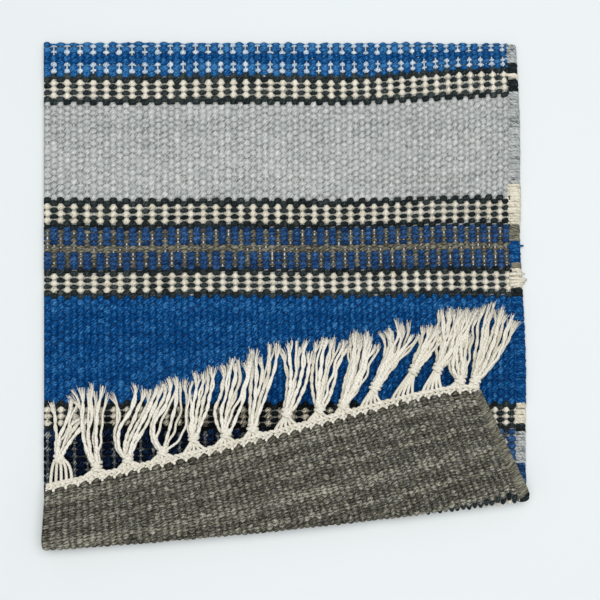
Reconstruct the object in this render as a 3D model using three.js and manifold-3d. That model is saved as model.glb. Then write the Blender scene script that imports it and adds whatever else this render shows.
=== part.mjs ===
// A folded corner length of a striped flat-woven wool kilim with a knotted cotton warp fringe.
// Millimetres, +Z up. +X runs across the rug to its right selvedge, +Y along the warp to the far edge.
// The lower layer lies flat on its underside, and the near end is turned over on top of it.
import * as THREE from 'three';
import { mergeVertices } from 'three/addons/utils/BufferGeometryUtils.js';
import Module from 'manifold-3d';

const { lerp, smoothstep, degToRad } = THREE.MathUtils;

// Cloth sizes
const clothThickness = 4;
const farEdgeY = 132;
const leftEdgeX = -131.5;
const leftTaper = 0.0294;
const rightEdgeX = 111.5;
const selvedgeWave = { height: 0.7, length: 120, shift: 28 };

// Fold: the bend's axis in plan from left to right, and the radius of the cloth's middle in it
const foldLeftY = -118;
const foldRightY = -94;
const foldSag = 2.3;
const bendRadius = 3.5;

// Turned-over flap: its end edge in plan from left to right, and how high its middle lies there
const endLeft = { x: -123.5, y: -95.2 };
const endRight = { x: 89.6, y: -48.9 };
const endBow = 22;
const endHeight = 7.8;
const endWave = { height: 0.6, turns: 2.3 };
const cornerLift = { from: 0.82, height: 1.4 };

// Grid of the cloth
const clothColumns = 24;
const lowerRows = 5;
const bendRows = 8;
const flapRows = 6;

// Twined strip along the end edge, which holds the roots of the fringe
const stripGap = 0.45;
const stripWidth = 4;
const stripThickness = 3;
const stripColumns = clothColumns;

// Knots and strands
const knot = { width: 5.4, length: 5.2, height: 4.2 };
const legSpread = 4.2;
const legWidth = 1.4;
const strandsPerTassel = 7;
const strandWidth = 0.85;
const strandRootWidth = 4.4;
const strandLayerStep = 1.1;
const strandSteps = 4;
const strandRestGap = 0.35;
const strandWaver = 0.9;

// One row for each tassel, left to right: place along the end edge, reach of the neck to the knot,
// lean from +Y towards +X in degrees, length of the strands below the knot, spread of their tips
const tassels = [
  { at: 0.030, neck: 10.6, lean: 1.0, length: 27.8, spread: 14.0 },
  { at: 0.120, neck: 2.4, lean: -3.0, length: 39.5, spread: 11.5 },
  { at: 0.190, neck: 3.0, lean: 1.4, length: 35.1, spread: 16.0 },
  { at: 0.270, neck: 2.9, lean: 0.5, length: 36.7, spread: 11.0 },
  { at: 0.341, neck: 5.6, lean: 0.0, length: 32.9, spread: 13.0 },
  { at: 0.415, neck: 3.6, lean: 1.0, length: 35.9, spread: 11.5 },
  { at: 0.475, neck: 3.3, lean: 7.0, length: 41.2, spread: 12.5 },
  { at: 0.551, neck: 6.3, lean: 8.5, length: 33.5, spread: 14.5 },
  { at: 0.628, neck: 3.9, lean: 10.5, length: 35.7, spread: 16.5 },
  { at: 0.682, neck: 2.9, lean: 16.5, length: 37.7, spread: 11.0 },
  { at: 0.742, neck: 8.6, lean: 25.0, length: 30.2, spread: 16.0 },
  { at: 0.821, neck: 13.6, lean: 26.0, length: 30.0, spread: 8.0 },
  { at: 0.886, neck: 10.9, lean: 21.0, length: 30.5, spread: 8.8 },
  { at: 0.952, neck: 2.4, lean: 16.0, length: 39.0, spread: 9.0 },
  { at: 0.985, neck: 2.4, lean: 24.0, length: 37.0, spread: 8.5 },
];

// Materials
const woolWeave = new THREE.MeshStandardMaterial({ color: '#8f959a', roughness: 0.95, metalness: 0 });
const cottonCord = new THREE.MeshStandardMaterial({ color: '#e6dfcf', roughness: 0.9, metalness: 0 });

// Plan of the lower layer: where the warp at share u of the width lies at distance y
function warpX(u, y) {
  const left = leftEdgeX + leftTaper * (farEdgeY - y);
  const wave = selvedgeWave.height * Math.cos((2 * Math.PI * (y + selvedgeWave.shift)) / selvedgeWave.length);
  return lerp(left, rightEdgeX + wave * u, u);
}

function foldY(u) {
  return lerp(foldLeftY, foldRightY, u) - foldSag * 4 * u * (1 - u);
}

function foldPoint(u) {
  const y = foldY(u);
  return new THREE.Vector2(warpX(u, y), y);
}

function endPoint(u) {
  const bow = endBow * u ** 3 * Math.sqrt(1 - u);
  return new THREE.Vector2(lerp(endLeft.x, endRight.x, u), lerp(endLeft.y, endRight.y, u) + bow);
}

// Height of the flap's middle, from the bend (share 0) to the end edge (share 1)
function flapHeight(u, share) {
  const atFold = clothThickness / 2 + 2 * bendRadius;
  const wave = endWave.height * Math.sin(2 * Math.PI * endWave.turns * u);
  const lift = cornerLift.height * smoothstep(u, cornerLift.from, 1);
  return lerp(atFold, endHeight + wave + lift, smoothstep(share, 0, 1));
}

// A point of the cloth: share u across, row counted from the far edge, through the thickness
function clothPoint(u, row, through) {
  const middle = clothThickness / 2;
  const offset = through * clothThickness;
  const fold = foldPoint(u);
  if (row <= lowerRows) {
    const y = lerp(farEdgeY, fold.y, row / lowerRows);
    return new THREE.Vector3(warpX(u, y), y, middle + offset);
  }
  if (row <= lowerRows + bendRows) {
    const angle = (Math.PI * (row - lowerRows)) / bendRows;
    const slope = (foldRightY - foldLeftY - foldSag * 4 * (1 - 2 * u)) / (warpX(1, foldRightY) - warpX(0, foldLeftY));
    const outward = new THREE.Vector2(slope, -1).normalize();
    const reach = (bendRadius - offset) * Math.sin(angle);
    const height = middle + bendRadius - (bendRadius - offset) * Math.cos(angle);
    return new THREE.Vector3(fold.x + outward.x * reach, fold.y + outward.y * reach, height);
  }
  const share = (row - lowerRows - bendRows) / flapRows;
  const plan = fold.lerp(endPoint(u), share);
  return new THREE.Vector3(plan.x, plan.y, flapHeight(u, share) - offset);
}

// Direction in plan in which the warp at share u runs out of the end edge
function endDirection(u) {
  return endPoint(u).sub(foldPoint(u)).normalize();
}

// A point beyond the end edge, at the height of the flap's end
function beyondEnd(u, distance, height) {
  const plan = endPoint(u).addScaledVector(endDirection(u), distance);
  return new THREE.Vector3(plan.x, plan.y, flapHeight(u, 1) + height);
}

// A block with a grid of points, each carried to its place by the function given
function shapedSlab(columns, rows, place) {
  const slab = new THREE.BoxGeometry(1, 1, 1, columns, rows, 1);
  const position = slab.getAttribute('position');
  for (let i = 0; i < position.count; i += 1) {
    const point = place(position.getX(i) + 0.5, 0.5 - position.getY(i), position.getZ(i));
    position.setXYZ(i, point.x, point.y, point.z);
  }
  slab.computeVertexNormals();
  return slab;
}

function clothGeometry() {
  const rows = lowerRows + bendRows + flapRows;
  return shapedSlab(clothColumns, rows, (u, along, through) => clothPoint(u, along * rows, through));
}

function stripGeometry() {
  const place = (u, along, through) =>
    beyondEnd(u, stripGap + along * stripWidth, -through * stripThickness);
  return shapedSlab(stripColumns, 1, place);
}

// A square cord along a smooth line through the points
function cordGeometry(points, width, steps) {
  const half = width / 2;
  const section = new THREE.Shape();
  section.moveTo(-half, -half);
  section.lineTo(half, -half);
  section.lineTo(half, half);
  section.lineTo(-half, half);
  section.closePath();
  const extrudePath = new THREE.CatmullRomCurve3(points);
  return new THREE.ExtrudeGeometry(section, { steps, extrudePath, bevelEnabled: false });
}

// Frame of one tassel: the knot's middle, and the directions along and across its strands
function tasselFrame(tassel) {
  const lean = degToRad(tassel.lean);
  const along = new THREE.Vector3(Math.sin(lean), Math.cos(lean), 0);
  const across = new THREE.Vector3(Math.cos(lean), -Math.sin(lean), 0);
  const root = beyondEnd(tassel.at, stripGap + stripWidth, 0);
  const middle = root.clone().addScaledVector(along, tassel.neck);
  return { along, across, root, middle };
}

// Warp ends that gather from the strip into the knot
function legGeometries(tassel, frame) {
  const edgeLength = endRight.x - endLeft.x;
  return [-1, 0, 1].map((side) => {
    const u = THREE.MathUtils.clamp(tassel.at + (side * legSpread) / edgeLength, 0.006, 0.994);
    const start = beyondEnd(u, stripGap + stripWidth / 2, 0);
    const finish = frame.middle.clone().addScaledVector(frame.across, side);
    return cordGeometry([start, finish], legWidth, 1);
  });
}

function knotGeometry(frame) {
  const ball = new THREE.SphereGeometry(0.5, 6, 4);
  ball.scale(knot.width, knot.length, knot.height);
  ball.rotateZ(Math.atan2(frame.across.y, frame.across.x));
  ball.translate(frame.middle.x, frame.middle.y, frame.middle.z);
  return ball;
}

// Strands in two layers at the knot, fanning out and coming down level onto the lower layer
function strandGeometries(tassel, frame, order) {
  const restHeight = clothThickness + strandRestGap + strandWidth / 2;
  const geometries = [];
  for (let i = 0; i < strandsPerTassel; i += 1) {
    const side = i / (strandsPerTassel - 1) - 0.5;
    const layer = i % 2 === 0 ? 0.5 : -0.5;
    const length = tassel.length * (0.94 + 0.06 * Math.cos(2.4 * i + order));
    const points = [0, 0.22, 0.5, 0.75, 1].map((share) => {
      const fan = lerp(strandRootWidth, tassel.spread, share ** 0.85) * side;
      const waver = strandWaver * Math.sin(Math.PI * share * 1.5 + order) * share;
      const drop = smoothstep(share, 0, 0.75);
      const layered = frame.middle.z + layer * strandLayerStep;
      const point = frame.middle.clone();
      point.addScaledVector(frame.along, share * length);
      point.addScaledVector(frame.across, fan + waver);
      point.z = Math.max(lerp(layered, restHeight, drop), restHeight);
      return point;
    });
    geometries.push(cordGeometry(points, strandWidth, strandSteps));
  }
  return geometries;
}

// Joining of solids
const wasm = await Module();
wasm.setup();

function toSolid(geometry) {
  const bare = geometry.clone();
  bare.deleteAttribute('normal');
  bare.deleteAttribute('uv');
  const merged = mergeVertices(bare, 1e-4);
  const vertProperties = Float32Array.from(merged.getAttribute('position').array);
  const triVerts = Uint32Array.from(merged.getIndex().array);
  return new wasm.Manifold(new wasm.Mesh({ numProp: 3, vertProperties, triVerts }));
}

function toGeometry(solid) {
  const { vertProperties, triVerts } = solid.getMesh();
  const geometry = new THREE.BufferGeometry();
  geometry.setAttribute('position', new THREE.BufferAttribute(vertProperties, 3));
  geometry.setIndex(new THREE.BufferAttribute(triVerts, 1));
  geometry.computeVertexNormals();
  return geometry;
}

function fringeGeometry() {
  let solid = toSolid(stripGeometry());
  tassels.forEach((tassel, order) => {
    const frame = tasselFrame(tassel);
    const pieces = [
      ...legGeometries(tassel, frame),
      knotGeometry(frame),
      ...strandGeometries(tassel, frame, order),
    ];
    pieces.forEach((piece) => {
      solid = solid.add(toSolid(piece));
    });
  });
  return toGeometry(solid);
}

function namedMesh(name, geometry, material) {
  const mesh = new THREE.Mesh(geometry, material);
  mesh.name = name;
  return mesh;
}

// The origin is the middle of the flat underside's box
const kilim = new THREE.Group();
kilim.add(namedMesh('kilim_cloth', clothGeometry(), woolWeave));
kilim.add(namedMesh('fringe', fringeGeometry(), cottonCord));
const box = new THREE.Box3().setFromObject(kilim);
const centre = box.getCenter(new THREE.Vector3());
kilim.position.set(-centre.x, -centre.y, -box.min.z);

export default kilim;
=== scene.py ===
import math

import bmesh
import bpy
import numpy as np
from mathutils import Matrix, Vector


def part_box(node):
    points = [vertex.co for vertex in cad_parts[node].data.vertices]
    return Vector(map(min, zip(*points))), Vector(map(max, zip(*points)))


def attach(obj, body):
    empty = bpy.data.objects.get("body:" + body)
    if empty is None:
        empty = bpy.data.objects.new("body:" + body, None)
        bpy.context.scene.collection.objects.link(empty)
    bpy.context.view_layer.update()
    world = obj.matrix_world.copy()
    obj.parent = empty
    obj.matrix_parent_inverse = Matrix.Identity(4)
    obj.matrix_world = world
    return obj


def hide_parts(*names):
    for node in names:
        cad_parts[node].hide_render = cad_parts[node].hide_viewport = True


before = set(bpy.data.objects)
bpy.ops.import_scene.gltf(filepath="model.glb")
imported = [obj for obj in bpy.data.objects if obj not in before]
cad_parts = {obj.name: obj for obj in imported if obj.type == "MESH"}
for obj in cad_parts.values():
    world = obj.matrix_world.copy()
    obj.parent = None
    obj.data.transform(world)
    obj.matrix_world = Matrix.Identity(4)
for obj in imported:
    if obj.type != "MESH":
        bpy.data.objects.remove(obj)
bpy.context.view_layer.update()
print("kilim: frame loaded")

# sizes in the tables are in mm, the frame and Blender are in metres
toMm = 1000.0
toMetres = 0.001
upward = np.array([0.0, 0.0, 1.0])

# how the folded cloth lies, in mm, as its solid does: x runs to the right selvedge, y to the far edge
clothPlan = {
    "width": 243.0,
    "farEdgeY": 132.0,
    "leftEdgeX": -131.5,
    "leftTaper": 0.0294,  # how far in the left edge runs for each mm nearer
    "rightEdgeX": 111.5,
    "waveHeight": 0.7,
    "waveLength": 120.0,
    "waveShift": 28.0,
    "foldLeftY": -118.0,
    "foldRightY": -94.0,
    "foldSag": 2.3,
    "bendRadius": 3.5,
    "middle": 2.0,  # height of the lower layer's middle
    "endLeft": (-123.5, -95.2),
    "endRight": (89.6, -48.9),
    "endBow": 22.0,
    "endHeight": 7.8,  # height of the flap's middle at the woven end
    "endWave": 0.6,
    "endTurns": 2.3,  # waves along the woven end
    "liftFrom": 0.82,  # share of the width past which the right corner lifts
    "liftHeight": 1.4,
}
clothLow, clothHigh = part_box("kilim_cloth")
planShift = np.array([
    clothLow.x * toMm - clothPlan["leftEdgeX"],
    clothHigh.y * toMm - clothPlan["farEdgeY"],
    0.0,
])


def between(first, last, share):
    return first + (last - first) * share


def smoothStep(value, low, high):
    share = np.clip((value - low) / (high - low), 0, 1)
    return share * share * (3 - 2 * share)


def warpX(u, y):
    p = clothPlan
    left = p["leftEdgeX"] + p["leftTaper"] * (p["farEdgeY"] - y)
    wave = p["waveHeight"] * np.cos(2 * math.pi * (y + p["waveShift"]) / p["waveLength"])
    return between(left, p["rightEdgeX"] + wave * u, u)


# the bend's line sags most half way across
def foldLine(u):
    p = clothPlan
    y = between(p["foldLeftY"], p["foldRightY"], u) - p["foldSag"] * 4 * u * (1 - u)
    return warpX(u, y), y


# the woven end bows away from the bend near its right corner
def endLine(u):
    p = clothPlan
    inside = np.clip(u, 0, 1)
    bow = p["endBow"] * inside ** 3 * np.sqrt(1 - inside)
    x = between(p["endLeft"][0], p["endRight"][0], u)
    return x, between(p["endLeft"][1], p["endRight"][1], u) + bow


def endHeight(u):
    p = clothPlan
    wave = p["endWave"] * np.sin(2 * math.pi * p["endTurns"] * u)
    return p["endHeight"] + wave + p["liftHeight"] * smoothStep(u, p["liftFrom"], 1)


# length of the cloth from the far edge to the bend and to the woven end, along the warp at share u
def foldLength(u):
    return clothPlan["farEdgeY"] - foldLine(u)[1]


def wovenLength(u):
    foldX, foldY = foldLine(u)
    endX, endY = endLine(u)
    return foldLength(u) + math.pi * clothPlan["bendRadius"] + np.hypot(endX - foldX, endY - foldY)


# carries a point of the flat cloth to its place: x across, v from the far edge, c up from the middle
def lay(x, v, c):
    p = clothPlan
    radius = p["bendRadius"]
    u = x / p["width"]
    foldX, foldY = foldLine(u)
    endX, endY = endLine(u)
    pastFold = v - foldLength(u)
    angle = np.clip(pastFold / radius, 0, math.pi)
    pastBend = pastFold - math.pi * radius
    onFlap = pastBend > 0
    share = np.maximum(pastBend, 0) / np.hypot(endX - foldX, endY - foldY)
    rise = p["foldRightY"] - p["foldLeftY"] - p["foldSag"] * 4 * (1 - 2 * u)
    run = warpX(1, p["foldRightY"]) - warpX(0, p["foldLeftY"])
    slope = rise / run
    steep = np.hypot(slope, 1)
    reach = (radius - c) * np.sin(angle)
    lowerY = p["farEdgeY"] - np.minimum(v, foldLength(u))
    bentX = warpX(u, lowerY) + slope / steep * reach
    bentY = lowerY - reach / steep
    bentZ = p["middle"] + radius - (radius - c) * np.cos(angle)
    flapZ = between(p["middle"] + 2 * radius, endHeight(u), smoothStep(share, 0, 1)) - c
    flapX = foldX + (endX - foldX) * share
    flapY = foldY + (endY - foldY) * share
    return np.stack([
        np.where(onFlap, flapX, bentX),
        np.where(onFlap, flapY, bentY),
        np.where(onFlap, flapZ, bentZ),
    ], axis=-1)


# smooth unevenness along each yarn, from -1 to 1, with a new value every few steps
def unevenness(rng, yarns, steps, spacing):
    coarse = rng.uniform(-1, 1, (yarns, int(steps / spacing) + 2))
    at = np.arange(steps) / spacing
    low = at.astype(int)
    share = smoothStep(at - low, 0, 1)
    return between(coarse[:, low], coarse[:, low + 1], share)


# soft patches over the cloth, from -1 to 1, with a new value every few picks and steps
def patches(rng, picks, steps, pickSpacing, stepSpacing):
    coarse = unevenness(rng, int(picks / pickSpacing) + 2, steps, stepSpacing)
    at = np.arange(picks) / pickSpacing
    low = at.astype(int)
    share = smoothStep(at - low, 0, 1)[:, None]
    return between(coarse[low], coarse[low + 1], share)


# rings of a yarn around its path [yarn, step, xyz], wide and thick being half sizes
def ringsAround(path, wide, thick, up, sides, closed=False):
    if closed:
        tangent = np.roll(path, -1, axis=1) - np.roll(path, 1, axis=1)
    else:
        tangent = np.gradient(path, axis=1)
    side = np.cross(tangent, up)
    side = side / np.linalg.norm(side, axis=-1, keepdims=True)
    lift = np.cross(side, tangent)
    lift = lift / np.linalg.norm(lift, axis=-1, keepdims=True)
    turn = 2 * math.pi * np.arange(sides) / sides
    across = (np.asarray(wide)[..., None] * np.cos(turn))[..., None]
    over = (np.asarray(thick)[..., None] * np.sin(turn))[..., None]
    return path[:, :, None] + side[:, :, None] * across + lift[:, :, None] * over


def makeObject(name, points, faces, maps, tone, material):
    mesh = bpy.data.meshes.new(name)
    mesh.vertices.add(len(points))
    placed = (points + planShift) * toMetres
    mesh.vertices.foreach_set("co", placed.astype(np.float32).ravel())
    sizes = np.concatenate([np.full(len(block), block.shape[1]) for block in faces])
    corners = np.concatenate([block.ravel() for block in faces])
    mesh.loops.add(len(corners))
    mesh.loops.foreach_set("vertex_index", corners.astype(np.int32))
    mesh.polygons.add(len(sizes))
    mesh.polygons.foreach_set("loop_start", (np.cumsum(sizes) - sizes).astype(np.int32))
    mesh.polygons.foreach_set("use_smooth", np.ones(len(sizes), bool))
    mesh.update(calc_edges=True)
    for mapName, blocks in maps.items():
        layer = mesh.uv_layers.new(name=mapName)
        flat = np.concatenate([block.reshape(-1, 2) for block in blocks])
        layer.uv.foreach_set("vector", flat.astype(np.float32).ravel())
    attribute = mesh.attributes.new("tone", "FLOAT", "POINT")
    attribute.data.foreach_set("value", tone.astype(np.float32))
    mesh.materials.append(material)
    piece = bpy.data.objects.new(name, mesh)
    bpy.context.scene.collection.objects.link(piece)
    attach(piece, "root")
    return piece


# a yarn's face and end caps on the bake map, in shares of its strip,
# and how far apart two yarns start in the fibre pattern, in mm
bakeLayout = {
    "rounding": 0.0001,
    "endMargin": 0.02,
    "sideMargin": 0.1,
    "capAt": 0.01,
    "capHalf": 0.008,
    "capHigh": 0.3,
    "patternApart": 53.0,
}


# one strip of the bake map for each yarn, laid in rows, as (left, row, width), with the number of rows
def bakeStrips(lengths, girth):
    rowLength = max(max(lengths), math.sqrt(sum(lengths) * girth))
    strips = []
    left = 0.0
    row = 0
    for length in lengths:
        width = length / rowLength
        if left + width > 1 + bakeLayout["rounding"]:
            left = 0.0
            row += 1
        strips.append((left, row, width))
        left += width
    return np.array(strips), row + 1


# the four corners of each face in grids of points [grid, row, column]
def quads(grid):
    return np.stack([grid[:, :-1, :-1], grid[:, 1:, :-1], grid[:, 1:, 1:], grid[:, :-1, 1:]], axis=3)


# yarns made alike: rings [yarn, step, side, xyz], tone [yarn, step, side] and whether they are loops
def yarnBundle(path, wide, thick, tone, sides, up=upward, closed=False):
    return {"rings": ringsAround(path, wide, thick, up, sides, closed), "tone": tone, "closed": closed}


# length along each yarn up to each of its steps
def lengthsAlong(bundle):
    spine = bundle["rings"].mean(axis=2)
    if bundle["closed"]:
        spine = np.concatenate([spine, spine[:, :1]], axis=1)
    hops = np.linalg.norm(np.diff(spine, axis=1), axis=-1)
    return np.concatenate([np.zeros((len(hops), 1)), np.cumsum(hops, axis=1)], axis=1)


# mean length once round a yarn
def girthOf(rings):
    return np.linalg.norm(rings - np.roll(rings, 1, axis=2), axis=-1).sum(axis=2).mean()


# the two end caps of each yarn in a bundle: faces and their corners on both maps, turned 1 or -1
def endCaps(numbers, yarnUv, strip, rows, turned):
    b = bakeLayout
    left, row, width = (strip[:, i][:, None] for i in range(3))
    sides = numbers.shape[2] - 1
    turn = 2 * math.pi * np.arange(sides) / sides
    for step, order, at in ((0, turned, b["capAt"]), (-1, -turned, 1 - b["capAt"])):
        capUv = np.stack([
            left + width * at + width * b["capHalf"] * np.cos(turn),
            (row + 0.5 + b["capHigh"] * np.sin(turn)) / rows,
        ], axis=-1)
        yield numbers[:, step, :-1][:, ::order], yarnUv[:, step, :-1][:, ::order], capUv[:, ::order]


# one mesh of many yarns, from a few bundles
def joinYarns(name, bundles, material):
    b = bakeLayout
    spines = [lengthsAlong(bundle) for bundle in bundles]
    girths = [girthOf(bundle["rings"]) for bundle in bundles]
    strips, rows = bakeStrips([length for spine in spines for length in spine[:, -1]], max(girths))
    points, tones, faces, yarnMap, bakeMap = [], [], [], [], []
    firstVertex = 0
    firstStrip = 0
    for bundle, spine, girth in zip(bundles, spines, girths):
        rings = bundle["rings"]
        yarns, steps, sides = rings.shape[:3]
        numbers = firstVertex + np.arange(yarns * steps * sides).reshape(yarns, steps, sides)
        if bundle["closed"]:
            numbers = np.concatenate([numbers, numbers[:, :1]], axis=1)
        numbers = np.concatenate([numbers, numbers[:, :, :1]], axis=2)
        strip = strips[firstStrip:firstStrip + yarns]
        around = np.broadcast_to(np.arange(sides + 1) / sides, numbers.shape)
        along = np.broadcast_to(spine[:, :, None], numbers.shape)
        share = along / spine[:, -1][:, None, None]
        left, row, width = (strip[:, i][:, None, None] for i in range(3))
        ownStart = b["patternApart"] * (firstStrip + np.arange(yarns))[:, None, None]
        yarnUv = np.stack([along + ownStart, around * girth], axis=-1)
        bakeUv = np.stack([
            left + width * between(b["endMargin"], 1 - b["endMargin"], share),
            (row + between(b["sideMargin"], 1 - b["sideMargin"], around)) / rows,
        ], axis=-1)
        corners = quads(numbers)
        flatPoints = rings.reshape(-1, 3)
        corner = flatPoints[corners - firstVertex]
        # faces are turned to point away from the yarn's middle
        facing = np.cross(corner[..., 1, :] - corner[..., 0, :], corner[..., 3, :] - corner[..., 0, :])
        outward = corner.mean(axis=3) - corner.mean(axis=(2, 3))[:, :, None]
        turned = 1 if (facing * outward).sum() > 0 else -1
        faces.append(corners[..., ::turned].reshape(-1, 4))
        yarnMap.append(quads(yarnUv)[..., ::turned, :].reshape(-1, 4, 2))
        bakeMap.append(quads(bakeUv)[..., ::turned, :].reshape(-1, 4, 2))
        if not bundle["closed"]:
            for capFaces, capYarn, capBake in endCaps(numbers, yarnUv, strip, rows, turned):
                faces.append(capFaces)
                yarnMap.append(capYarn)
                bakeMap.append(capBake)
        points.append(flatPoints)
        tones.append(np.broadcast_to(bundle["tone"], (yarns, steps, sides)).ravel())
        firstVertex += len(flatPoints)
        firstStrip += yarns
    maps = {"yarn": yarnMap, "OFBake": bakeMap}
    return makeObject(name, np.concatenate(points), faces, maps, np.concatenate(tones), material)


def toLinear(hexColour):
    channels = [int(hexColour[i:i + 2], 16) / 255 for i in (1, 3, 5)]
    return [c / 12.92 if c <= 0.04045 else ((c + 0.055) / 1.055) ** 2.4 for c in channels] + [1.0]


def addNode(tree, kind, settings=(), values=(), links=()):
    node = tree.nodes.new(kind)
    for name, value in dict(settings).items():
        setattr(node, name, value)
    for socket, value in dict(values).items():
        node.inputs[socket].default_value = value
    for socket, source in dict(links).items():
        tree.links.new(source, node.inputs[socket])
    return node


wavePeriod = 2 * math.pi / 20  # a wave texture of scale 1 repeats at this distance


# a spun yarn: fibres run slanting round it, lighter and darker ones lie side by side
def spunYarn(look):
    material = bpy.data.materials.new(look["name"])
    material.use_nodes = True
    tree = material.node_tree
    shader = tree.nodes["Principled BSDF"]
    tone = addNode(tree, "ShaderNodeAttribute", {"attribute_name": "tone"})
    place = addNode(tree, "ShaderNodeUVMap", {"uv_map": "yarn"})
    fibreSpace = addNode(
        tree, "ShaderNodeMapping", {"vector_type": "TEXTURE"},
        {"Rotation": (0, 0, math.radians(look["twist"])),
         "Scale": (look["fibreLength"], look["fibreWidth"], 1)},
        {"Vector": place.outputs["UV"]},
    )
    fibres = addNode(
        tree, "ShaderNodeTexNoise", {"noise_dimensions": "2D"},
        {"Scale": 1.0, "Detail": 3.0, "Roughness": 0.6}, {"Vector": fibreSpace.outputs["Vector"]},
    )
    centred = addNode(
        tree, "ShaderNodeMath", {"operation": "SUBTRACT"}, {1: 0.5}, {0: fibres.outputs["Fac"]},
    )
    mixed = addNode(
        tree, "ShaderNodeMath", {"operation": "MULTIPLY_ADD"}, {1: look["fibreContrast"]},
        {0: centred.outputs[0], 2: tone.outputs["Fac"]},
    )
    plies = addNode(
        tree, "ShaderNodeTexWave", {"bands_direction": "Y"},
        {"Scale": wavePeriod * look["fibreWidth"] / look["plyWidth"],
         "Distortion": look["plyWaver"], "Detail": 1.0, "Detail Scale": 0.4},
        {"Vector": fibreSpace.outputs["Vector"]},
    )
    plied = addNode(
        tree, "ShaderNodeMath", {"operation": "MULTIPLY_ADD"}, {1: look["plyShade"]},
        {0: plies.outputs["Fac"], 2: mixed.outputs[0]},
    )
    ramp = addNode(tree, "ShaderNodeValToRGB", links={"Fac": plied.outputs[0]})
    stops = ramp.color_ramp.elements
    while len(stops) < len(look["colours"]):
        stops.new(0.5)
    for stop, (position, colour) in zip(stops, look["colours"]):
        stop.position = position
        stop.color = toLinear(colour)
    relief = addNode(
        tree, "ShaderNodeMath", {"operation": "MULTIPLY_ADD"}, {1: look["plyRelief"]},
        {0: plies.outputs["Fac"], 2: fibres.outputs["Fac"]},
    )
    bump = addNode(
        tree, "ShaderNodeBump", {}, {"Strength": look["bump"], "Distance": look["fibreWidth"] * toMetres},
        {"Height": relief.outputs[0]},
    )
    tree.links.new(ramp.outputs["Color"], shader.inputs["Base Color"])
    tree.links.new(bump.outputs["Normal"], shader.inputs["Normal"])
    shader.inputs["Roughness"].default_value = look["roughness"]
    shader.inputs["IOR"].default_value = look["ior"]
    shader.inputs["Specular IOR Level"].default_value = look["specular"]
    shader.inputs["Sheen Weight"].default_value = look["sheen"]
    shader.inputs["Sheen Roughness"].default_value = look["sheenRoughness"]
    return material


# carded wool, loosely spun: dull and hairy, with a soft light rim and no shine; twist in degrees and
# sizes in mm; a fibre is too fine to show, so locks of fibres are drawn, as coarse as they need to be
woolSpin = {
    "twist": 38.0,
    "fibreLength": 2.6,
    "fibreWidth": 0.5,
    "fibreContrast": 1.7,
    "plyWidth": 1.0,
    "plyWaver": 1.2,
    "plyShade": 0.2,
    "plyRelief": 0.9,
    "bump": 0.6,
    "roughness": 0.95,
    "ior": 1.5,
    "specular": 0.03,
    "sheen": 0.015,
    "sheenRoughness": 0.5,
}
darkColours = [(0.0, "#040506"), (0.3, "#151b1d"), (0.62, "#242b2c"), (1.0, "#4b5452")]
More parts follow.
